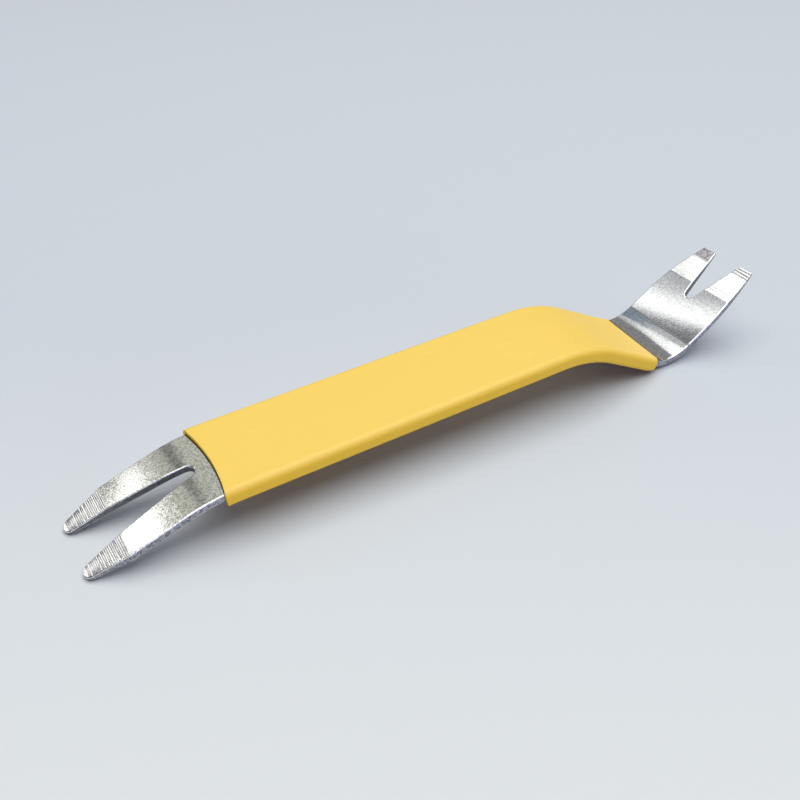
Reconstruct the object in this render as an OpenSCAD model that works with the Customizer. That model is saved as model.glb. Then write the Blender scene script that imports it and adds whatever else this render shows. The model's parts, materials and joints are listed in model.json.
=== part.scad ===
// Double-ended trim removal tool: one steel strip, forked at both ends and bent, in a soft plastic sleeve.
// X runs along the tool from the fork to the claw, Y across it, and Z up from the surface it lies on.

/* [Steel strip] */
// Width of the strip
strip_w = 25; // [20:0.5:32]
// Thickness of the strip
strip_t = 2; // [1.5:0.1:3]
// Length of the straight handle between its bends
handle_len = 92.2; // [60:0.2:140]

/* [Fork] */
// Radius of the fork's bend, at mid thickness
fork_bend_r = 41.5; // [25:0.5:60]
// Angle of the fork below the handle
fork_angle = 18.4; // [8:0.1:30]
// Length of the flat fork past its bend
fork_flat = 24.8; // [18:0.2:40]
// Depth of the slot between the tines, from the tips to its round root
slot_depth = 32.1; // [24:0.1:33]
// Radius of the slot's root
slot_root_r = 2; // [1:0.1:3]
// Width of the slot between the tips
slot_mouth = 12.4; // [8:0.2:13]
// Radius of each rounded tine tip
tine_tip_r = 2.2; // [1:0.1:2.6]
// Length of each tine that narrows to its tip
tine_taper_len = 11.2; // [6:0.2:16]
// Length of the flat that is ground on top of each tine
tine_grind_len = 11.2; // [6:0.2:16]
// Thickness left at the tine tips
tine_tip_t = 1; // [0.4:0.1:1.4]

/* [Claw] */
// Radius of the bend from the handle down to the ramp, at mid thickness
drop_bend_r = 35.7; // [20:0.1:50]
// Angle of the ramp below the handle
ramp_angle = 29.45; // [15:0.05:40]
// Length of the flat ramp
ramp_len = 17.2; // [10:0.2:30]
// Radius of the bend that lifts the claw, at mid thickness
lift_bend_r = 15.2; // [10:0.1:25]
// Angle of the claw above the handle
claw_angle = 32.46; // [15:0.02:45]
// Length of the flat claw past its bend
claw_flat = 28.6; // [25:0.2:40]
// Length of the claw over which its sides curve in
claw_taper_len = 24.6; // [14:0.2:28]
// Width across the claw's tips
claw_tip_w = 19; // [16:0.1:22]
// Depth of the notch, from the tips to its round root
notch_depth = 17; // [10:0.2:20]
// Radius of the notch's root
notch_root_r = 1.8; // [0.8:0.1:2.5]
// Width of the notch between the tips
notch_mouth = 9.6; // [6:0.1:11]
// Length of the bevel that is ground on top of the claw
claw_grind_len = 12.1; // [6:0.1:16]
// Thickness left at the claw's tips
claw_tip_t = 0.8; // [0.4:0.1:1.4]

/* [Sleeve] */
// Wall of the sleeve
sleeve_wall = 1.15; // [0.8:0.05:2]
// Radius of the sleeve's long outer edges
sleeve_edge_r = 1.6; // [0.5:0.1:1.8]
// Room between the sleeve and the strip, all round
sleeve_gap = 0.05; // [0.02:0.01:0.15]
// Length of the sleeve on the fork's bend
sleeve_fork_len = 3.6; // [1:0.1:6]
// Hollow of the sleeve's end across the fork
sleeve_end_hollow = 1.5; // [0.2:0.1:2.5]
// Angle of the claw's bend that the sleeve covers
sleeve_claw_wrap = 16.5; // [10:0.5:28]

/* [Hidden] */
$fn = 96;

// A cutter reaches this far past what it cuts
reach = strip_w;
// A straight edge runs this far into the round that it touches, so that the two meet in one clean corner
tuck = 0.01;
lift_angle = ramp_angle + claw_angle;
sleeve_fork_angle = sleeve_fork_len / fork_bend_r * 180 / PI;
bore_w = strip_w + 2 * sleeve_gap;
bore_t = strip_t + 2 * sleeve_gap;
sleeve_w = bore_w + 2 * sleeve_wall;
sleeve_t = bore_t + 2 * sleeve_wall;

// Point of a bend's far end, for a bend that leaves the X axis towards +Z
function bend_end(r, angle) = [r * sin(angle), r * (1 - cos(angle))];
// Vector [x, z] turned by an angle from X towards Z
function turned(p, angle) = [p.x * cos(angle) - p.y * sin(angle), p.x * sin(angle) + p.y * cos(angle)];
// Angle from X of the line through a point that touches a circle on its right-hand side
function touch_angle(from, centre, r) =
    let (d = centre - from) atan2(d.y, d.x) - asin(r / norm(d));

// Corners of the tool in its side view, with the straight handle along X and its middle at the origin
fork_fold = bend_end(fork_bend_r, fork_angle);
fork_start = [-handle_len / 2 - fork_fold.x, -fork_fold.y];
fork_sole = fork_start - turned([fork_flat, strip_t / 2], fork_angle);
fork_point = fork_start - turned([fork_flat, strip_t / 2 - tine_tip_t], fork_angle);
drop_fold = bend_end(drop_bend_r, ramp_angle);
ramp_start = [handle_len / 2 + drop_fold.x, -drop_fold.y];
lift_start = ramp_start + turned([ramp_len, 0], -ramp_angle);
lift_centre = lift_start + turned([0, lift_bend_r], -ramp_angle);
claw_start = lift_centre + turned([0, -lift_bend_r], claw_angle);
claw_sole = claw_start + turned([claw_flat, -strip_t / 2], claw_angle);

// The tool lies on its tine tips and on the underside of the sleeve's claw end
sleeve_sole_r = lift_bend_r + sleeve_t / 2;
sleeve_lip = lift_centre + turned([0, -sleeve_sole_r], sleeve_claw_wrap - ramp_angle);
lip_slope = touch_angle(fork_sole, sleeve_lip, 0);
sole_slope = touch_angle(fork_sole, lift_centre, sleeve_sole_r);
rest_slope = sleeve_claw_wrap - ramp_angle > sole_slope ? sole_slope : lip_slope;
rest_x = (turned(fork_point, -rest_slope).x + turned(claw_sole, -rest_slope).x) / 2;
rest_z = turned(fork_sole, -rest_slope).y;

// Turns the tool from its handle's line to how it lies, with its middle over the origin
module lie() {
    translate([-rest_x, 0, -rest_z]) rotate([0, rest_slope, 0]) children();
}

// Sweeps a section along X; the section has the strip's thickness along its X and its width along its Y
module straight(len) {
    rotate([0, 90, 0]) linear_extrude(len) children();
}

// Frame at the far end of a bend that leaves the X axis; a positive angle bends up, a negative one down
module past_bend(r, angle) {
    centre = [0, 0, sign(angle) * r];
    translate(centre) rotate([0, -angle, 0]) translate(-centre) children();
}

// The same section round a bend: the sector of a ring between the bend's two end planes
module bend(r, angle) {
    span = 2 * (r + reach);
    intersection() {
        translate([0, 0, sign(angle) * r]) rotate([90, 0, 0]) rotate_extrude() translate([r, 0]) children();
        translate([0, -span / 2, -span / 2]) cube(span);
        past_bend(r, angle) translate([-span, -span / 2, -span / 2]) cube(span);
    }
}

// Frames along the strip, each with X pointing on towards the tips
module at_fork_bend() {
    mirror([1, 0, 0]) translate([handle_len / 2, 0, 0]) children();
}

module at_fork() {
    at_fork_bend() past_bend(fork_bend_r, -fork_angle) children();
}

module at_drop_bend() {
    translate([handle_len / 2, 0, 0]) children();
}

module at_ramp() {
    at_drop_bend() past_bend(drop_bend_r, -ramp_angle) children();
}

module at_lift_bend() {
    at_ramp() translate([ramp_len, 0, 0]) children();
}

module at_claw() {
    at_lift_bend() past_bend(lift_bend_r, lift_angle) children();
}

module strip_section() {
    square([strip_t, strip_w], center = true);
}

// Angle of each flank of a tapered slot, which touches the round root and meets the mouth's corner
function slot_flank(depth, root_r, mouth) = touch_angle([root_r - depth, 0], [0, mouth / 2], root_r - tuck);

// Tapered slot with a round root, as cut between two tips: X is 0 at the tips and negative inwards
module tapered_slot(depth, root_r, mouth) {
    flank = slot_flank(depth, root_r, mouth);
    root = [root_r - depth, 0];
    touch = root + turned([0, root_r - tuck], flank);
    past = [0, mouth / 2] + turned([reach, 0], flank);
    translate(root) circle(root_r);
    polygon([[touch.x, -touch.y], [past.x, -past.y], past, touch]);
}

// Plan of the flat fork before its slot is cut, from its bend at X = 0 to its tips
// Each round tip touches the slot's flank and the tine's outer edge
module fork_plan() {
    flank = slot_flank(slot_depth, slot_root_r, slot_mouth);
    edge_r = tine_tip_r - tuck;
    tip = [-tine_tip_r, slot_mouth / 2 - tine_tip_r * tan(flank) + edge_r / cos(flank)];
    shoulder = [-tine_taper_len, strip_w / 2];
    outer = tip + turned([0, edge_r], touch_angle(shoulder, tip, -edge_r));
    inner = tip - turned([0, tine_tip_r], flank);
    lower = [[outer.x, -outer.y], [tip.x, -tip.y], [inner.x, -inner.y]];
    translate([0, -strip_w / 2]) square([fork_flat - tine_taper_len, strip_w]);
    translate([fork_flat, 0]) {
        polygon([[shoulder.x, -shoulder.y], each lower, inner, tip, outer, shoulder]);
        for (side = [-1, 1]) translate([tip.x, side * tip.y]) circle(tine_tip_r);
    }
}

// Plan of the flat claw, from its bend at X = 0 to its tips; each side curves in along one arc
module claw_plan() {
    inset = (strip_w - claw_tip_w) / 2 + tuck;
    side_r = (claw_taper_len * claw_taper_len + inset * inset) / (2 * inset);
    side_y = strip_w / 2 + tuck - side_r;
    difference() {
        intersection() {
            translate([0, -strip_w / 2]) square([claw_flat, strip_w]);
            union() {
                translate([0, -strip_w / 2]) square([claw_flat - claw_taper_len, strip_w]);
                intersection_for (side = [-1, 1]) {
                    translate([claw_flat - claw_taper_len, side * side_y]) circle(side_r);
                }
            }
        }
        translate([claw_flat, 0]) tapered_slot(notch_depth, notch_root_r, notch_mouth);
    }
}

// What is ground off the top of an end, down to the thickness left at its tips, with X = 0 at the tips
module ground_off(len, tip_t) {
    slope = atan2(strip_t - tip_t, len);
    translate([-len, 0, strip_t / 2]) rotate([0, slope, 0])
        translate([0, -reach, 0]) cube([2 * len, 2 * reach, reach]);
}

module fork() {
    at_fork() difference() {
        translate([0, 0, -strip_t / 2]) linear_extrude(strip_t) fork_plan();
        translate([fork_flat, 0, 0]) ground_off(tine_grind_len, tine_tip_t);
    }
}

module claw() {
    at_claw() difference() {
        translate([0, 0, -strip_t / 2]) linear_extrude(strip_t) claw_plan();
        translate([claw_flat, 0, 0]) ground_off(claw_grind_len, claw_tip_t);
    }
}

// The slot is cut from the whole strip, because its root reaches into the fork's bend
module steel_bar() {
    color([0.78, 0.79, 0.80]) lie() difference() {
        union() {
            fork();
            at_fork_bend() bend(fork_bend_r, -fork_angle) strip_section();
            translate([-handle_len / 2, 0, 0]) straight(handle_len) strip_section();
            at_drop_bend() bend(drop_bend_r, -ramp_angle) strip_section();
            at_ramp() straight(ramp_len) strip_section();
            at_lift_bend() bend(lift_bend_r, lift_angle) strip_section();
            claw();
        }
        at_fork() translate([fork_flat, 0, -reach]) linear_extrude(2 * reach)
            tapered_slot(slot_depth, slot_root_r, slot_mouth);
    }
}

// Ring of the sleeve's wall, round-edged outside and snug on the strip inside
module sleeve_section() {
    edge_r = min(sleeve_edge_r, 0.45 * sleeve_t);
    core = [sleeve_t - 2 * edge_r, sleeve_w - 2 * edge_r];
    difference() {
        union() {
            square([sleeve_t, core.y], center = true);
            square([core.x, sleeve_w], center = true);
            for (x = [-1, 1], y = [-1, 1]) translate([x * core.x / 2, y * core.y / 2]) circle(edge_r);
        }
        square([bore_t, bore_w], center = true);
    }
}

// The sleeve's fork end is hollow across the strip, longest at its two edges
module sleeve_end_cut() {
    hollow_r = (sleeve_w * sleeve_w / 4 + sleeve_end_hollow * sleeve_end_hollow) / (2 * sleeve_end_hollow);
    at_fork_bend() past_bend(fork_bend_r, -sleeve_fork_angle)
        translate([hollow_r - sleeve_end_hollow, 0, -sleeve_t]) cylinder(r = hollow_r, h = 2 * sleeve_t);
}

module grip_sleeve() {
    color([0.98, 0.80, 0.30]) lie() difference() {
        union() {
            at_fork_bend() bend(fork_bend_r, -sleeve_fork_angle) sleeve_section();
            translate([-handle_len / 2, 0, 0]) straight(handle_len) sleeve_section();
            at_drop_bend() bend(drop_bend_r, -ramp_angle) sleeve_section();
            at_ramp() straight(ramp_len) sleeve_section();
            at_lift_bend() bend(lift_bend_r, sleeve_claw_wrap) sleeve_section();
        }
        sleeve_end_cut();
    }
}

steel_bar();
grip_sleeve();
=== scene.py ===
import json
import math
import random

import bmesh
import bpy
from mathutils import Matrix, Vector


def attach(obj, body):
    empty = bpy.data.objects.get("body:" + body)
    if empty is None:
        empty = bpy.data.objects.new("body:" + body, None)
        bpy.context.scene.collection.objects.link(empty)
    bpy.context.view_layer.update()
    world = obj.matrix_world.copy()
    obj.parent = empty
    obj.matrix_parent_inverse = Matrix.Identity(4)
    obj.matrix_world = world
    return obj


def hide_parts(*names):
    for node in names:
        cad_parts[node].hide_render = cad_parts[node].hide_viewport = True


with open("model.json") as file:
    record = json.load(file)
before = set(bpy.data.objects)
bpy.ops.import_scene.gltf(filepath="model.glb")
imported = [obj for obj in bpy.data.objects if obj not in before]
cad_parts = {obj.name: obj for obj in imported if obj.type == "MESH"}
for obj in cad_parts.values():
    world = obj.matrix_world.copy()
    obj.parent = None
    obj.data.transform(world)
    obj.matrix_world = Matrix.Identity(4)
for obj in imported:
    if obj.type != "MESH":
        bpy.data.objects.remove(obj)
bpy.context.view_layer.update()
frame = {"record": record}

# Steel bar: one strip of bright plated steel with a fork at one end and a claw at the other.
# It is stamped flat with its slots, tumbled so that its edges are round, ground thin on top at the tips
# and then bent on a press. It is drawn here in the same order, flat first, in millimetres.

MM = 0.001
STRIP_W, STRIP_T = 25.0, 2.0
HANDLE_LEN = 92.2
FORK_BEND_R, FORK_ANGLE, FORK_FLAT = 41.5, math.radians(18.4), 24.8
DROP_BEND_R, RAMP_ANGLE, RAMP_LEN = 35.7, math.radians(29.45), 17.2
LIFT_BEND_R, LIFT_ANGLE, CLAW_FLAT = 15.2, math.radians(61.91), 28.6
SLOT_DEPTH, SLOT_ROOT_R, SLOT_MOUTH = 32.1, 2.0, 12.4
NOTCH_DEPTH, NOTCH_ROOT_R, NOTCH_MOUTH = 17.0, 1.8, 9.6
TINE_TIP_R, TINE_TAPER_LEN = 2.2, 11.2
TINE_GRIND_LEN, TINE_TIP_T = 11.2, 1.0
CLAW_TAPER_LEN, CLAW_TIP_W = 24.6, 19.0
CLAW_GRIND_LEN, CLAW_TIP_T = 12.1, 0.8
BURR_R = 0.3

# Each bend is where it starts, its radius and its angle, along the flat strip from the handle's middle
drop_start = HANDLE_LEN / 2
lift_start = drop_start + DROP_BEND_R * RAMP_ANGLE + RAMP_LEN
CLAW_BENDS = ((drop_start, DROP_BEND_R, -RAMP_ANGLE), (lift_start, LIFT_BEND_R, LIFT_ANGLE))
FORK_BENDS = ((HANDLE_LEN / 2, FORK_BEND_R, -FORK_ANGLE),)
claw_tip = lift_start + LIFT_BEND_R * LIFT_ANGLE + CLAW_FLAT
fork_tip = -(HANDLE_LEN / 2 + FORK_BEND_R * FORK_ANGLE + FORK_FLAT)
HAIR = 1e-4


def start_flat(name, kind, size, middle):
    """Adds a primitive of this size round this middle, alone selected and in edit mode."""
    bpy.ops.object.select_all(action="DESELECT")
    getattr(bpy.ops.mesh, f"primitive_{kind}_add")(size=1, enter_editmode=True)
    bpy.ops.transform.resize(value=size)
    bpy.ops.transform.translate(value=middle)
    piece = bpy.context.object
    piece.name = piece.data.name = name
    return piece


def pick(piece, kind, test):
    """Selects just the verts, edges or faces that pass a test, in edit mode."""
    bpy.ops.mesh.select_all(action="DESELECT")
    bpy.ops.mesh.select_mode(type={"verts": "VERT", "edges": "EDGE", "faces": "FACE"}[kind])
    mesh = bmesh.from_edit_mesh(piece.data)
    for part in getattr(mesh, kind):
        part.select_set(test(part))
    mesh.select_flush_mode()
    bmesh.update_edit_mesh(piece.data)


def cut(place, normal, **options):
    """Cuts what is selected along a plane."""
    bpy.ops.mesh.bisect(plane_co=place, plane_no=normal, threshold=HAIR, **options)


def cut_all(place, normal, **options):
    """Cuts the whole piece along a plane."""
    bpy.ops.mesh.select_all(action="SELECT")
    cut(place, normal, **options)


def finish_with(piece, kind, **settings):
    """Adds a modifier with these settings and applies it."""
    bpy.ops.object.mode_set(mode="OBJECT")
    modifier = piece.modifiers.new(kind.lower(), kind)
    for setting, value in settings.items():
        setattr(modifier, setting, value)
    bpy.ops.object.modifier_apply(modifier=modifier.name)
    bpy.ops.object.mode_set(mode="EDIT")


def flank_angle(depth, root_r, mouth):
    """Lean of a tapered slot's flank, which runs from the mouth's corner to touch the round root."""
    across, along = mouth / 2, depth - root_r
    return math.atan2(across, along) - math.asin(root_r / math.hypot(across, along))


def stamp_slot(piece, tip, inwards, depth, root_r, mouth):
    """Stamps a tapered slot with a round root into the end of the flat strip."""
    lean = flank_angle(depth, root_r, mouth)
    root = tip + inwards * depth
    cut_all((root, 0, 0), (1, 0, 0))

    def beyond_root(face):
        return (face.calc_center_median().x - root) * inwards < 0

    for side in (-1, 1):
        pick(piece, "faces", beyond_root)
        cut((tip, side * mouth / 2, 0), (inwards * math.sin(lean), side * math.cos(lean), 0))

    def in_slot(face):
        middle = face.calc_center_median()
        half = mouth / 2 - abs(middle.x - tip) * math.tan(lean)
        return beyond_root(face) and abs(middle.y) < half

    pick(piece, "faces", in_slot)
    bpy.ops.mesh.delete(type="FACE")
    bpy.ops.mesh.select_all(action="SELECT")
    bpy.ops.mesh.dissolve_limited(angle_limit=math.radians(1))
    half_root = mouth / 2 - depth * math.tan(lean)
    for side in (-1, 1):
        round_corner(piece, (root, side * half_root), root_r * math.tan((math.pi / 2 - lean) / 2))


def round_corner(piece, corner, offset, segments=12):
    """Rounds one corner of the flat outline."""
    place = Vector((*corner, 0))
    pick(piece, "verts", lambda vert: (vert.co - place).length < 0.05)
    bpy.ops.mesh.bevel(offset=offset * 0.998, segments=segments, affect="VERTICES")


bar = start_flat("steel_bar_plated", "plane", (claw_tip - fork_tip, STRIP_W, 1),
                 ((claw_tip + fork_tip) / 2, 0, 0))

# The claw's sides curve in along one arc, drawn as short straight steps
CLAW_SIDE_STEPS = 16
inset = (STRIP_W - CLAW_TIP_W) / 2
side_r = (CLAW_TAPER_LEN ** 2 + inset ** 2) / (2 * inset)
claw_shoulder = claw_tip - CLAW_TAPER_LEN
for step in range(CLAW_SIDE_STEPS):
    cut_all((claw_shoulder + CLAW_TAPER_LEN * step / CLAW_SIDE_STEPS, 0, 0), (1, 0, 0))
for step in range(1, CLAW_SIDE_STEPS + 1):
    run = CLAW_TAPER_LEN * step / CLAW_SIDE_STEPS
    drawn_in = side_r - math.sqrt(side_r ** 2 - run ** 2)
    pick(bar, "verts", lambda vert: abs(vert.co.x - claw_shoulder - run) < 0.01)
    bpy.ops.transform.resize(value=(1, 1 - 2 * drawn_in / STRIP_W, 1), center_override=(0, 0, 0))

# The tines narrow to their tips, and their ends are fully round
slot_lean = flank_angle(SLOT_DEPTH, SLOT_ROOT_R, SLOT_MOUTH)
tip_y = SLOT_MOUTH / 2 - TINE_TIP_R * math.tan(slot_lean) + TINE_TIP_R / math.cos(slot_lean)
to_tip = Vector((TINE_TAPER_LEN - TINE_TIP_R, STRIP_W / 2 - tip_y))
taper_lean = math.atan2(to_tip.y, to_tip.x) - math.asin(TINE_TIP_R / to_tip.length)
for side in (-1, 1):
    cut_all((fork_tip + TINE_TAPER_LEN, side * STRIP_W / 2, 0),
            (-math.sin(taper_lean), side * math.cos(taper_lean), 0), clear_outer=True)
stamp_slot(bar, fork_tip, 1, SLOT_DEPTH, SLOT_ROOT_R, SLOT_MOUTH)
stamp_slot(bar, claw_tip, -1, NOTCH_DEPTH, NOTCH_ROOT_R, NOTCH_MOUTH)
tine_outer_y = STRIP_W / 2 - TINE_TAPER_LEN * math.tan(taper_lean)
for side in (-1, 1):
    round_corner(bar, (fork_tip, side * SLOT_MOUTH / 2), TINE_TIP_R / math.tan((math.pi / 2 + slot_lean) / 2))
    round_corner(bar, (fork_tip, side * tine_outer_y), TINE_TIP_R / math.tan((math.pi / 2 + taper_lean) / 2))
finish_with(bar, "SOLIDIFY", thickness=STRIP_T, offset=0)

# Both ends are ground on top, from the full thickness down to thin tips
tine_slope = math.atan2(STRIP_T - TINE_TIP_T, TINE_GRIND_LEN)
claw_slope = math.atan2(STRIP_T - CLAW_TIP_T, CLAW_GRIND_LEN)
tine_ground = Vector((-math.sin(tine_slope), 0, math.cos(tine_slope)))
claw_ground = Vector((math.sin(claw_slope), 0, math.cos(claw_slope)))
cut_all((fork_tip + TINE_GRIND_LEN, 0, STRIP_T / 2), tine_ground, clear_outer=True, use_fill=True)
cut_all((claw_tip - CLAW_GRIND_LEN, 0, STRIP_T / 2), claw_ground, clear_outer=True, use_fill=True)
bpy.ops.mesh.select_all(action="SELECT")
bpy.ops.mesh.normals_make_consistent(inside=False)
finish_with(bar, "BEVEL", width=BURR_R, segments=3, limit_method="ANGLE", angle_limit=math.radians(40),
            use_clamp_overlap=False)


class Wire:
    """A shader socket that does arithmetic: an operator on values adds the Math node for it."""

    def __init__(self, tree, socket=None):
        self.tree = tree
        self.socket = socket

    def node(self, kind, settings=None, inputs=None, output=0):
        """Adds any node: its settings are set first, then its sockets get values or links."""
        made = self.tree.nodes.new("ShaderNode" + kind)
        for name, value in (settings or {}).items():
            setattr(made, name, value)
        for name, value in (inputs or {}).items():
            if isinstance(value, Wire):
                self.tree.links.new(value.socket, made.inputs[name])
            else:
                made.inputs[name].default_value = value
        return Wire(self.tree, made.outputs[output])

    def math(self, operation, *values):
        """A Math node on values or sockets."""
        return self.node("Math", {"operation": operation}, dict(enumerate(values)))

    def __add__(self, other):
        return self.math("ADD", self, other)

    def __sub__(self, other):
        return self.math("SUBTRACT", self, other)

    def __rsub__(self, other):
        return self.math("SUBTRACT", other, self)

    def __mul__(self, other):
        return self.math("MULTIPLY", self, other)

    def __truediv__(self, other):
        return self.math("DIVIDE", self, other)

    def __rtruediv__(self, other):
        return self.math("DIVIDE", other, self)

    __radd__ = __add__
    __rmul__ = __mul__

    def within(self, low, high):
        """0 below low, 1 above high, smooth between."""
        return self.node("MapRange", {"interpolation_type": "SMOOTHSTEP"},
                         {"Value": self, "From Min": low, "From Max": high})

    def axis(self, places, name):
        """One coordinate of a place or a direction."""
        return self.node("SeparateXYZ", {}, {"Vector": places}, name)

    def crystals(self, places, scale):
        """A value of its own for each small cell."""
        cell = self.node("TexVoronoi", {}, {"Vector": places, "Scale": scale}, "Color")
        return self.node("SeparateColor", {}, {"Color": cell})

    def noise(self, places, scale, detail=2.0, roughness=0.5):
        """A soft random value that drifts over the places."""
        return self.node("TexNoise", {}, {"Vector": places, "Scale": scale, "Detail": detail,
                                          "Roughness": roughness})

    def mix(self, dark, light):
        """The colour between two colours that this value picks."""
        return self.node("Mix", {"data_type": "RGBA"}, {0: self, 6: dark, 7: light}, 2)


def new_finish(name):
    """A new material, a wire for its tree, its shader and the places on the object."""
    material = bpy.data.materials.new(name)
    material.use_nodes = True
    tree = material.node_tree
    wire = Wire(tree)
    places = wire.node("TexCoord", output="Object")
    return material, wire, tree.nodes["Principled BSDF"], places


def connect(wire, shader, **sockets):
    """Links or sets the shader's sockets, named with _ for a space."""
    for name, value in sockets.items():
        socket = shader.inputs[name.replace("_", " ")]
        if isinstance(value, Wire):
            wire.tree.links.new(value.socket, socket)
        else:
            socket.default_value = value


def bump(wire, height, distance, strength):
    """The normal of a surface with this much relief."""
    return wire.node("Bump", {}, {"Height": height, "Distance": distance, "Strength": strength})


PER_MM = 1 / MM
PLATE_DARK, PLATE_LIGHT = (0.49, 0.495, 0.5, 1), (0.88, 0.885, 0.88, 1)
# The dark colour of the painted shade on the plated steel
PLATE_PAINTED_SHADE = (0.07, 0.068, 0.06, 1)
SLEEVE_EDGE_AT_FORK, SLEEVE_EDGE_AT_CLAW = -66.5 * MM, 65.15 * MM
FORK_EDGE_HOLLOW, CLAW_EDGE_SKEW = 8.0, 0.095


def plated_steel():
    """Bright plated steel: a fine grain of crystals over the orange peel of a tumbled strip.

    The claw is smoother. Painted shade darkens the steel along both ends of the sleeve and in a thin line
    just past its claw end, and a dull press line where the claw's bend ends is darkened with painted shade.
    """
    material, wire, shader, places = new_finish("plated_steel")
    grain = wire.crystals(places, 2.8 * PER_MM)
    peel = wire.noise(places, 2.4 * PER_MM, 2.0, 0.55)
    blotch = wire.noise(places, 0.35 * PER_MM, 2.0)
    along = wire.axis(places, "X")
    sideways = wire.axis(places, "Y")
    smoother = along.within(60 * MM, 70 * MM)
    speckle = (grain * 0.45 + peel * 0.4 + blotch * 0.15) * (1 - 0.42 * smoother) + 0.25 * smoother
    bright = speckle.within(0.25, 0.7).mix(PLATE_DARK, PLATE_LIGHT)
    # Painted shade: the steel is darkened in a narrow band along each end of the sleeve, in the gap beside it
    past_fork_end = SLEEVE_EDGE_AT_FORK - sideways * sideways * FORK_EDGE_HOLLOW - along
    past_claw_end = along - sideways * CLAW_EDGE_SKEW - SLEEVE_EDGE_AT_CLAW
    painted_gap_shade = (1 - past_fork_end.within(0.1 * MM, 0.5 * MM)) * (1 - past_claw_end.within(0.1 * MM, 0.6 * MM))
    # Painted shade: a thin dark line just past the sleeve's claw end
    painted_shade_line = past_claw_end.within(1.0 * MM, 1.15 * MM) - past_claw_end.within(1.25 * MM, 1.4 * MM)
    # A dull press line where the claw's bend ends, darkened with painted shade
    die_mark_and_shade = along.within(75.2 * MM, 75.4 * MM) - along.within(75.8 * MM, 75.95 * MM)
    colour = (painted_gap_shade + painted_shade_line * 0.6 + die_mark_and_shade * 0.72).mix(bright, PLATE_PAINTED_SHADE)
    height = (peel * 0.45 + blotch * 0.8) * (1 - 0.7 * smoother) + grain * 0.09 * (1 - smoother)
    roughness = (0.07 + 0.05 * grain + 0.04 * blotch) * (1 - 0.5 * smoother)
    connect(wire, shader, Base_Color=colour, Metallic=1.0, Roughness=roughness,
            Normal=bump(wire, height, 0.05 * MM, 0.12))
    return material


GROUND_DARK, GROUND_LIGHT = (0.56, 0.555, 0.535, 1), (0.93, 0.93, 0.92, 1)
WORN_DARK, WORN_LIGHT = (0.16, 0.152, 0.158, 1), (0.4, 0.38, 0.385, 1)


def ground_steel():
    """Steel bared by a grinding belt: whitish and finely scratched, and worn dull at three of the tips."""
    material, wire, shader, places = new_finish("ground_steel")
    speck = wire.noise(places, 1.9 * PER_MM, 3.0, 0.65)
    run = wire.node("Mapping", {}, {"Vector": places, "Scale": (1, 0.05, 1)})
    scratch = wire.noise(run, 3.4 * PER_MM, 2.0, 0.6)
    bright = (speck * 0.5 + scratch * 0.5).within(0.33, 0.6).mix(GROUND_DARK, GROUND_LIGHT)
    mottle = wire.noise(places, 1.2 * PER_MM, 3.0, 0.6)
    dull = mottle.within(0.35, 0.65).mix(WORN_DARK, WORN_LIGHT)
    along = wire.axis(places, "X")
    sideways = wire.axis(places, "Y")
    worn_claw = (along + mottle * 1.5 * MM).within(96.6 * MM, 98.0 * MM) * sideways.within(0, MM)
    worn_tine = 0.25 * (-96.0 * MM - along).within(0, 3.0 * MM)
    roughness = 0.22 + 0.14 * speck + 0.09 * along.within(0, MM)
    colour = (worn_claw + worn_tine).mix(bright, dull)
    connect(wire, shader, Base_Color=colour, Metallic=1.0, Roughness=roughness,
            Normal=bump(wire, speck * 0.5 + scratch * 0.5, 0.05 * MM, 0.4))
    return material


SHEAR_DARK, SHEAR_LIGHT = (0.11, 0.113, 0.12, 1), (0.56, 0.57, 0.59, 1)


def sheared_steel():
    """The stamped edge of the strip, torn and dull, with painted shade darkening its walls inside the slots.
    """
    material, wire, shader, places = new_finish("sheared_steel")
    tear = wire.noise(places, 2.2 * PER_MM, 3.0, 0.65)
    sideways = wire.math("ABSOLUTE", wire.axis(places, "Y"))
    # Painted shade: the walls inside the slots are darker than the outer edges
    unshaded_outside_slots = sideways.within(6.4 * MM, 7.4 * MM)
    shade = tear.within(0.3, 0.7) * (0.3 + 0.7 * unshaded_outside_slots)
    connect(wire, shader, Base_Color=shade.mix(SHEAR_DARK, SHEAR_LIGHT), Metallic=1.0,
            Roughness=0.28 + 0.2 * tear, Normal=bump(wire, tear, 0.08 * MM, 0.7))
    return material


PLATED, GROUND, SHEARED = range(3)
for finish in (plated_steel(), ground_steel(), sheared_steel()):
    bar.data.materials.append(finish)


def paint_faces(piece, finish, test):
    """Gives the faces that pass a test one of the piece's finishes."""
    pick(piece, "faces", test)
    piece.active_material_index = finish
    bpy.ops.object.material_slot_assign()


paint_faces(bar, SHEARED, lambda face: abs(face.normal.z) < 0.25)
paint_faces(bar, GROUND, lambda face: max(face.normal.dot(tine_ground), face.normal.dot(claw_ground)) > 0.9999
            and face.normal.z < 0.9999)

# The grinding belt scores fine grooves across the tines, and a few deep ones across the near claw prong
TINE_GROOVE_W, CLAW_GROOVE_W = 0.14, 0.36
chance = random.Random(4)


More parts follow.
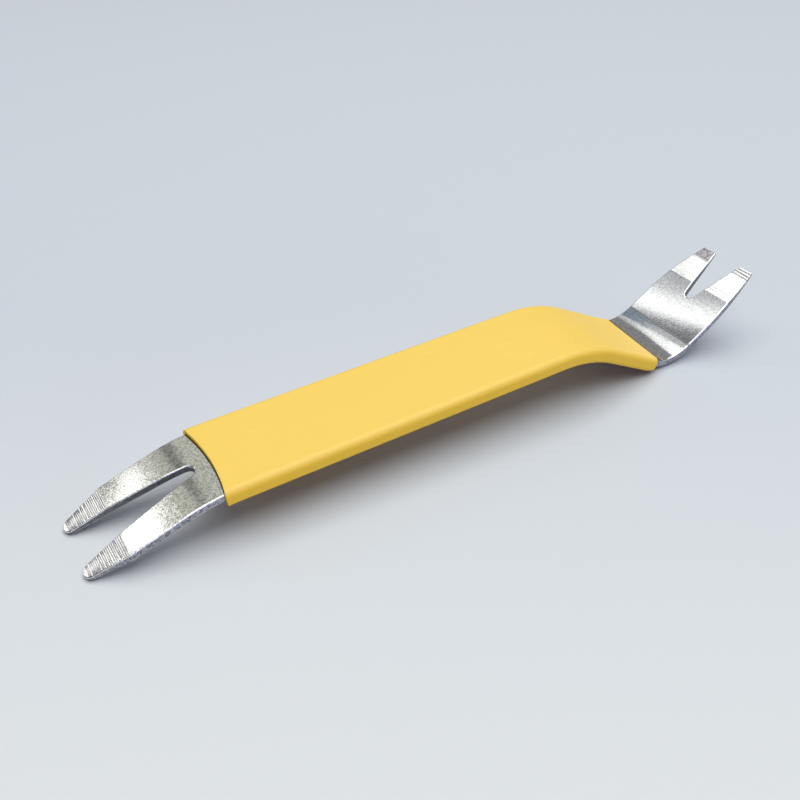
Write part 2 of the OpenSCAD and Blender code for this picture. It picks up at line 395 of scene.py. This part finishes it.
def groove(side, end, distance, depth, skew):
    """Scores one shallow groove across the ground face of one prong."""
    if end == "fork":
        tip, inwards, ground, length, half_w = fork_tip, 1, tine_ground, TINE_GRIND_LEN, TINE_GROOVE_W
    else:
        tip, inwards, ground, length, half_w = claw_tip, -1, claw_ground, CLAW_GRIND_LEN, CLAW_GROOVE_W
    across = Vector((math.cos(skew), math.sin(skew), 0))
    middle = Vector((tip + inwards * distance, side * STRIP_W / 4, 0))

    def on_ground_face(face):
        centre = face.calc_center_median()
        return face.normal.z > 0.4 and centre.y * side > 0 and abs(centre.x - tip) < length

    for offset in (-half_w, 0, half_w):
        pick(bar, "faces", on_ground_face)
        cut(middle + offset * across, across)

    def lies_on(vert, offset):
        on_line = abs((vert.co - middle).dot(across) - offset) < 0.004
        return on_line and vert.co.y * side > 0 and vert.co.z > -STRIP_T / 2 + 0.4

    pick(bar, "edges", lambda edge: any(all(lies_on(vert, offset) for vert in edge.verts)
                                        for offset in (-half_w, 0, half_w)))
    bpy.ops.mesh.mark_sharp()
    pick(bar, "verts", lambda vert: lies_on(vert, 0))
    bpy.ops.transform.translate(value=-depth * ground)


FAR, NEAR = 1, -1
TINE_GROOVES, TINE_GROOVE_PITCH, TINE_GROOVE_FROM = 21, 0.48, TINE_GRIND_LEN - 0.35
for side, deep, fade in ((FAR, 0.046, 0.35), (NEAR, 0.046, 0.2)):
    for step in range(TINE_GROOVES):
        share = step / (TINE_GROOVES - 1)
        depth = deep * (1 - (1 - fade) * share) * chance.uniform(0.75, 1.1)
        distance = TINE_GROOVE_FROM - TINE_GROOVE_PITCH * step + chance.uniform(-0.04, 0.04)
        groove(side, "fork", distance, depth, chance.uniform(-0.012, 0.012))
# How far from the claw's tip each groove lies, and how deep it is
CLAW_GROOVES = ((0.95, 0.2), (1.9, 0.2), (2.85, 0.18), (10.2, 0.065), (11.1, 0.075))
for distance, depth in CLAW_GROOVES:
    groove(NEAR, "claw", distance, depth, chance.uniform(-0.03, 0.03))

# Rows across the bends let the flat strip bend round
ROW_ANGLE = math.radians(1.2)


def rows_across_bends(bends, way, stop=math.inf):
    """Cuts rows across each bend, close enough that the bent strip looks round."""
    for start, radius, angle in bends:
        steps = math.ceil(abs(angle) / ROW_ANGLE)
        for step in range(steps + 1):
            place = start + radius * abs(angle) * step / steps
            if place < stop:
                cut_all((way * place, 0, 0), (1, 0, 0))


rows_across_bends(FORK_BENDS, -1)
rows_across_bends(CLAW_BENDS, 1)

# The bent tool lies on its tine tips and its sleeve. The grip_top mount gives the handle's place and lean
SLEEVE_WALL, SLEEVE_GAP = 1.15, 0.05
SLEEVE_T = STRIP_T + 2 * (SLEEVE_GAP + SLEEVE_WALL)
grip_top = next(mount for mount in frame["record"]["mounts"] if mount["name"] == "grip_top")
handle_up = Vector(grip_top["axis"]).normalized()
handle_along = Vector((handle_up.z, 0, -handle_up.x))
handle_middle = Vector(grip_top["pos_m"]) - handle_up * SLEEVE_T / 2 * MM


def after_bends(distance, rise, bends):
    """Where a point of the flat strip ends up, as far along and up from the handle's middle."""
    place, lean, done = Vector((0, 0)), 0.0, 0.0
    for start, radius, angle in bends:
        ahead = min(distance, start) - done
        if ahead > 0:
            place += ahead * Vector((math.cos(lean), math.sin(lean)))
            done += ahead
        if distance > start:
            turn = min((distance - start) / radius, abs(angle)) * math.copysign(1, angle)
            towards = math.copysign(radius, angle)
            centre = place + towards * Vector((-math.sin(lean), math.cos(lean)))
            lean += turn
            place = centre - towards * Vector((-math.sin(lean), math.cos(lean)))
            done = start + radius * abs(turn)
    place += (distance - done) * Vector((math.cos(lean), math.sin(lean)))
    return place + rise * Vector((-math.sin(lean), math.cos(lean)))


def press_to_shape(piece):
    """Bends a flat piece along the tool's bends and lays it where the tool lies, in metres."""
    bpy.ops.object.mode_set(mode="OBJECT")
    for vert in piece.data.vertices:
        way, bends = (1, CLAW_BENDS) if vert.co.x > 0 else (-1, FORK_BENDS)
        along, up = after_bends(abs(vert.co.x), vert.co.z, bends)
        across = Vector((0, vert.co.y, 0))
        vert.co = handle_middle + MM * (way * along * handle_along + up * handle_up + across)
    bpy.ops.object.mode_set(mode="EDIT")
    bpy.ops.mesh.select_all(action="SELECT")
    bpy.ops.mesh.remove_doubles(threshold=1e-7)
    bpy.ops.mesh.normals_make_consistent(inside=False)
    bpy.ops.object.mode_set(mode="OBJECT")
    bpy.ops.object.shade_smooth_by_angle(angle=math.radians(35))
    modifier = piece.modifiers.new("weighted", "WEIGHTED_NORMAL")
    modifier.keep_sharp = True
    bpy.ops.object.modifier_apply(modifier=modifier.name)


press_to_shape(bar)
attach(bar, "root")
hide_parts("steel_bar")

# Grip sleeve: a soft yellow PVC sleeve, dipped or shrunk on and cut at its ends.
# It follows the strip round both bends of the handle and grips it by its own stretch.

SLEEVE_W = STRIP_W + 2 * (SLEEVE_GAP + SLEEVE_WALL)
SLEEVE_TOP_R, SLEEVE_UNDER_R = 1.7, 1.2
SLEEVE_FORK_LEN, SLEEVE_END_HOLLOW = 3.6, 1.5
SLEEVE_CLAW_LEN = LIFT_BEND_R * math.radians(16.5)
sleeve_fork_end = -(HANDLE_LEN / 2 + SLEEVE_FORK_LEN)
sleeve_claw_end = lift_start + SLEEVE_CLAW_LEN

sleeve = start_flat("grip_sleeve_soft", "cube", (sleeve_claw_end - sleeve_fork_end, SLEEVE_W, SLEEVE_T),
                    ((sleeve_claw_end + sleeve_fork_end) / 2, 0, 0))
for up, radius in ((1, SLEEVE_TOP_R), (-1, SLEEVE_UNDER_R)):
    pick(sleeve, "edges", lambda edge: abs(edge.verts[0].co.x - edge.verts[1].co.x) > HANDLE_LEN
         and all(vert.co.z * up > SLEEVE_T / 2 - HAIR for vert in edge.verts)
         and all(abs(vert.co.y) > SLEEVE_W / 2 - HAIR for vert in edge.verts))
    bpy.ops.mesh.bevel(offset=radius, segments=8, affect="EDGES")
pick(sleeve, "faces", lambda face: abs(face.normal.x) > 0.9)
bpy.ops.mesh.delete(type="FACE")
SLEEVE_COLUMNS = 16
for column in range(1, SLEEVE_COLUMNS):
    cut_all((0, SLEEVE_W * (column / SLEEVE_COLUMNS - 0.5), 0), (0, 1, 0))
rows_across_bends(CLAW_BENDS, 1, sleeve_claw_end - HAIR)
rows_across_bends(FORK_BENDS, -1, -sleeve_fork_end - HAIR)

# The cut across the fork is hollow, and the one at the claw runs askew with its near corner rounded
SLEEVE_CLAW_SKEW, SLEEVE_CORNER, CORNER_FROM = 1.4, 0.9, 0.7
END_FORK_SPAN, END_CLAW_SPAN = 6.0, 8.0
bpy.ops.object.mode_set(mode="OBJECT")
for vert in sleeve.data.vertices:
    side = 2 * vert.co.y / SLEEVE_W
    near_fork = max(0, 1 - (vert.co.x - sleeve_fork_end) / END_FORK_SPAN)
    near_claw = max(0, 1 - (sleeve_claw_end - vert.co.x) / END_CLAW_SPAN)
    corner = max(0, (-side - CORNER_FROM) / (1 - CORNER_FROM))
    vert.co.x += near_fork * SLEEVE_END_HOLLOW * (1 - side ** 2)
    vert.co.x += near_claw * (SLEEVE_CLAW_SKEW * side - SLEEVE_CORNER * corner ** 2)
bpy.ops.object.mode_set(mode="EDIT")
finish_with(sleeve, "SOLIDIFY", thickness=SLEEVE_WALL, offset=-1, use_even_offset=True)

# The wall thins out towards the claw, where the stretched sleeve hugs the strip
NOSE_LEN, NOSE_IN, NOSE_DOWN = 5.0, 0.5, 0.55
half_bore = STRIP_W / 2 + SLEEVE_GAP
bpy.ops.object.mode_set(mode="OBJECT")
for vert in sleeve.data.vertices:
    outer = abs(vert.co.y) > half_bore + SLEEVE_WALL / 2 or abs(vert.co.z) > STRIP_T / 2 + SLEEVE_WALL / 2
    side = 2 * vert.co.y / SLEEVE_W
    to_end = sleeve_claw_end + SLEEVE_CLAW_SKEW * side - vert.co.x
    nose = max(0, 1 - to_end / NOSE_LEN) ** 2
    if outer and nose > 0:
        vert.co.y -= math.copysign(NOSE_IN * nose * min(1, abs(side)), side)
        vert.co.z -= math.copysign(NOSE_DOWN * nose * min(1, abs(vert.co.z) / (SLEEVE_T / 2)), vert.co.z)
bpy.ops.object.mode_set(mode="EDIT")

# The fork's cut keeps a crisp lip, and the one at the claw is softer
FORK_LIP_R, CLAW_LIP_R = 0.18, 0.2
for way, lip in ((-1, FORK_LIP_R), (1, CLAW_LIP_R)):
    pick(sleeve, "edges", lambda edge: edge.verts[0].co.x * way > 0 and edge.calc_face_angle() > 1.0)
    bpy.ops.mesh.bevel(offset=lip, segments=4, affect="EDGES", clamp_overlap=False)
press_to_shape(sleeve)

PVC_DEEP, PVC_LIGHT = (0.82, 0.54, 0.015, 1), (0.85, 0.57, 0.022, 1)
# Paler top colours: a painted sheen, with faint scuffs
PVC_PALE_SHEEN, PVC_SCUFFED_SHEEN = (0.845, 0.59, 0.1, 1), (0.855, 0.604, 0.114, 1)
# Darker underside colour: painted shade
PVC_UNDER_SHADED = (0.5, 0.31, 0.03, 1)


def yellow_pvc():
    """Satin soft PVC with a fine skin, faintly scuffed on top, paler on top as a painted sheen and darker
    underneath as painted shade.
    """
    material, wire, shader, places = new_finish("yellow_pvc")
    cloud = wire.noise(places, 0.05 * PER_MM, 3.0)
    skin = wire.noise(places, 2.5 * PER_MM, 2.0)
    base_yellow = (cloud * 0.7 + skin * 0.3).within(0.3, 0.7).mix(PVC_DEEP, PVC_LIGHT)
    facing = wire.node("NewGeometry", output="Normal")
    upwards = wire.axis(facing, "Z")
    run = wire.node("Mapping", {}, {"Vector": places, "Scale": (0.3, 1, 1)})
    scuffed = (0.6 * wire.noise(run, 0.5 * PER_MM, 4.0, 0.65) + 0.4 * cloud).within(0.5, 0.72)
    # Painted sheen: faces that look up get the paler top colours, with faint scuffs
    top_sheen_and_scuffs = upwards.within(0.25, 0.85).mix(base_yellow, scuffed.mix(PVC_PALE_SHEEN, PVC_SCUFFED_SHEEN))
    # Painted shade: faces that look down get the darker underside colour
    colour = upwards.within(-0.9, -0.5).mix(PVC_UNDER_SHADED, top_sheen_and_scuffs)
    connect(wire, shader, Base_Color=colour, Roughness=0.46 + 0.1 * cloud,
            Normal=bump(wire, skin, 0.01 * MM, 0.5))
    return material


sleeve.data.materials.append(yellow_pvc())
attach(sleeve, "root")
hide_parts("grip_sleeve")

# Studio: a pale sheet of paper to lie on, under a large soft lamp, with a low fill lamp in front.
# A small card and two slim lamps behind on the left light the fork, and the room that the steel mirrors
# is panelled. The camera looks down from the front left, from near by.

FLOOR_SIZE = 4.0
PAPER_NEAR, PAPER_FAR = (0.65, 0.685, 0.685, 1), (0.538, 0.585, 0.62, 1)
bpy.ops.object.mode_set(mode="OBJECT")
floor = start_flat("floor", "plane", (FLOOR_SIZE, FLOOR_SIZE, 1), (0, 0, 0))
bpy.ops.object.mode_set(mode="OBJECT")
# Painted light: the paper's colour is paler and warmer in front and darker and cooler behind, as the lamps'
# light falls off
paper, wire, shader, places = new_finish("floor_paper")
along = wire.axis(places, "X")
sideways = wire.axis(places, "Y")
depth = 0.52 * along + 0.854 * sideways
sheet = depth.within(-0.16, 0.06).mix(PAPER_NEAR, PAPER_FAR)
connect(wire, shader, Base_Color=sheet, Roughness=0.85)
floor.data.materials.append(paper)


def from_place(place, azimuth, elevation, distance):
    """What lies this far from a place, at an azimuth right of +Y and an elevation in degrees."""
    turn, rise = math.radians(azimuth), math.radians(elevation)
    way = Vector((math.sin(turn) * math.cos(rise), math.cos(turn) * math.cos(rise), math.sin(rise)))
    return place + distance * way


def soft_lamp(name, place, azimuth, elevation, distance, size, radiance, roll=0, colour=(1, 1, 1)):
    """A rectangular soft lamp that faces a place, rolled by some degrees."""
    data = bpy.data.lights.new(name, "AREA")
    data.shape = "RECTANGLE"
    data.size, data.size_y = size
    data.energy = radiance * math.pi * size[0] * size[1]
    data.color = colour
    lamp = bpy.data.objects.new(name, data)
    bpy.context.scene.collection.objects.link(lamp)
    lamp.location = from_place(place, azimuth, elevation, distance)
    facing = (place - lamp.location).to_track_quat("-Z", "Y").to_matrix()
    lamp.rotation_euler = (facing @ Matrix.Rotation(math.radians(roll), 3, "Z")).to_euler()


LAMP_FAR = 1.5
FORK_PLACE = Vector((-0.085, 0, 0.008))
soft_lamp("overhead_softbox", Vector((0.165, -0.05, 0)), 0, 90, LAMP_FAR, (2.2, 1.9), 2.3, 10)
soft_lamp("front_fill", Vector(), 172, 7, 2 * LAMP_FAR, (3.2, 0.6), 3.4, 0, (0.9, 0.7, 1.55))
soft_lamp("fork_card", FORK_PLACE, -34.5, 27.5, 1.6, (0.36, 0.38), 2.6)
soft_lamp("far_tine_strip", FORK_PLACE, -22.85, 35.05, LAMP_FAR, (0.024, 0.08), 3.0, -47)
soft_lamp("near_tine_strip", FORK_PLACE, -26.3, 36.95, LAMP_FAR, (0.066, 0.08), 3.0, -47)

# The room is brighter behind the tool than on the camera's side. Behind, olive and grey walls have a dark
# seam, a blue panel and two soft lights. A pale backdrop stands all round at the paper's edge
WALL_GREY, WALL_OLIVE, PANEL_BLUE = (0.57, 0.58, 0.59, 1), (0.58, 0.58, 0.5, 1), (0.23, 0.29, 0.35, 1)
WALL_SHADE, WALL_DIM, WALL_FLANK = (0.14, 0.14, 0.145, 1), (0.2, 0.21, 0.225, 1), (0.15, 0.145, 0.15, 1)
GLOW_LIGHT, EDGE_LIGHT = (1.6, 1.6, 1.6, 1), (1.15, 1.15, 1.15, 1)
LOW_LEFT, LOW_RIGHT = (0.05, 0.045, 0.06, 1), (0.30, 0.28, 0.24, 1)
FRONT_LOW, FRONT_HIGH = (0.11, 0.09, 0.15, 1), (0.2, 0.195, 0.21, 1)
BACKDROP_PALE = (0.6, 0.63, 0.655, 1)
world = bpy.data.worlds.new("studio")
bpy.context.scene.world = world
world.use_nodes = True
wire = Wire(world.node_tree)
direction = wire.node("TexCoord", output="Generated")
across = wire.axis(direction, "X")
behind = wire.axis(direction, "Y")
height = wire.axis(direction, "Z")
bearing = across / behind
seam = (bearing.within(-0.28, -0.21) - bearing.within(-0.15, -0.07)) * (1 - height.within(0.67, 0.73))
olive = (1 - height.within(0.70, 0.78)) * (1 - bearing.within(0.1, 0.4))
walls = olive.mix(WALL_GREY, WALL_OLIVE)
blue_rows = height.within(0.745, 0.785) - height.within(0.812, 0.828)
blue_panel = blue_rows * (bearing.within(-0.33, -0.22) - bearing.within(0.27, 0.42))
panelled = blue_panel.mix(walls, PANEL_BLUE)
shaded = (seam * 0.75 + bearing.within(0.52, 0.72) * 0.7).mix(panelled, WALL_SHADE)
leaning = bearing + 0.85 * (height - 0.8)
beyond = leaning.within(-0.429, -0.415)
dim = (1 - beyond) * bearing.within(-0.56, -0.5) * height.within(0.74, 0.77)
dimmed = dim.mix(shaded, WALL_DIM)
glow = beyond * (1 - leaning.within(-0.402, -0.356)) * height.within(0.7, 0.76)
glowing = glow.mix(dimmed, GLOW_LIGHT)
soft_edge = (height + 0.155 * bearing).within(0.835, 0.86) * bearing.within(-0.1, 0.1)
edged = soft_edge.mix(glowing, EDGE_LIGHT)
flanks = bearing.within(-0.75, -0.6) * (1 - bearing.within(1.2, 1.8))
lit = flanks.mix(WALL_FLANK, edged)
low = bearing.within(0.5, 0.9).mix(LOW_LEFT, LOW_RIGHT)
back = height.within(0.50, 0.57).mix(low, lit)
front = height.within(0.25, 0.6).mix(FRONT_LOW, FRONT_HIGH)
room = behind.within(-0.3, 0.2).mix(front, back)
seen = wire.node("LightPath", output="Is Camera Ray")
glossy = wire.node("LightPath", output="Is Glossy Ray")
mirrored = glossy + wire.node("LightPath", output="Is Transmission Ray")
pale = (1 - behind.within(-0.5, -0.2)) * 0.7 + (1 - height.within(0.1, 0.25)) * 0.3
backdrop = (seen + mirrored * pale).mix(room, BACKDROP_PALE)
connect(wire, world.node_tree.nodes["Background"], Color=backdrop)

# The camera's place and angles in the photo: 31 degrees to the left of the tool's front, 37 degrees up
CAMERA_PLACE = MM * Vector((-114.07, -162.70, 153.89))
CAMERA_AZIMUTH, CAMERA_ELEVATION, CAMERA_ROLL = (math.radians(a) for a in (-31.336, 36.824, 0.628))
SENSOR_MM, FOCAL_PX, FRAME_PX = 36.0, 930.0, 800.0
data = bpy.data.cameras.new("camera")
data.sensor_width = SENSOR_MM
data.lens = SENSOR_MM * FOCAL_PX / FRAME_PX
data.clip_start = 0.01
camera = bpy.data.objects.new("camera", data)
bpy.context.scene.collection.objects.link(camera)
look = Matrix.Rotation(CAMERA_AZIMUTH, 4, "Z") @ Matrix.Rotation(math.pi / 2 - CAMERA_ELEVATION, 4, "X")
camera.matrix_world = Matrix.Translation(CAMERA_PLACE) @ look @ Matrix.Rotation(CAMERA_ROLL, 4, "Z")
bpy.context.scene.camera = camera
bpy.context.scene.view_settings.view_transform = "Standard"
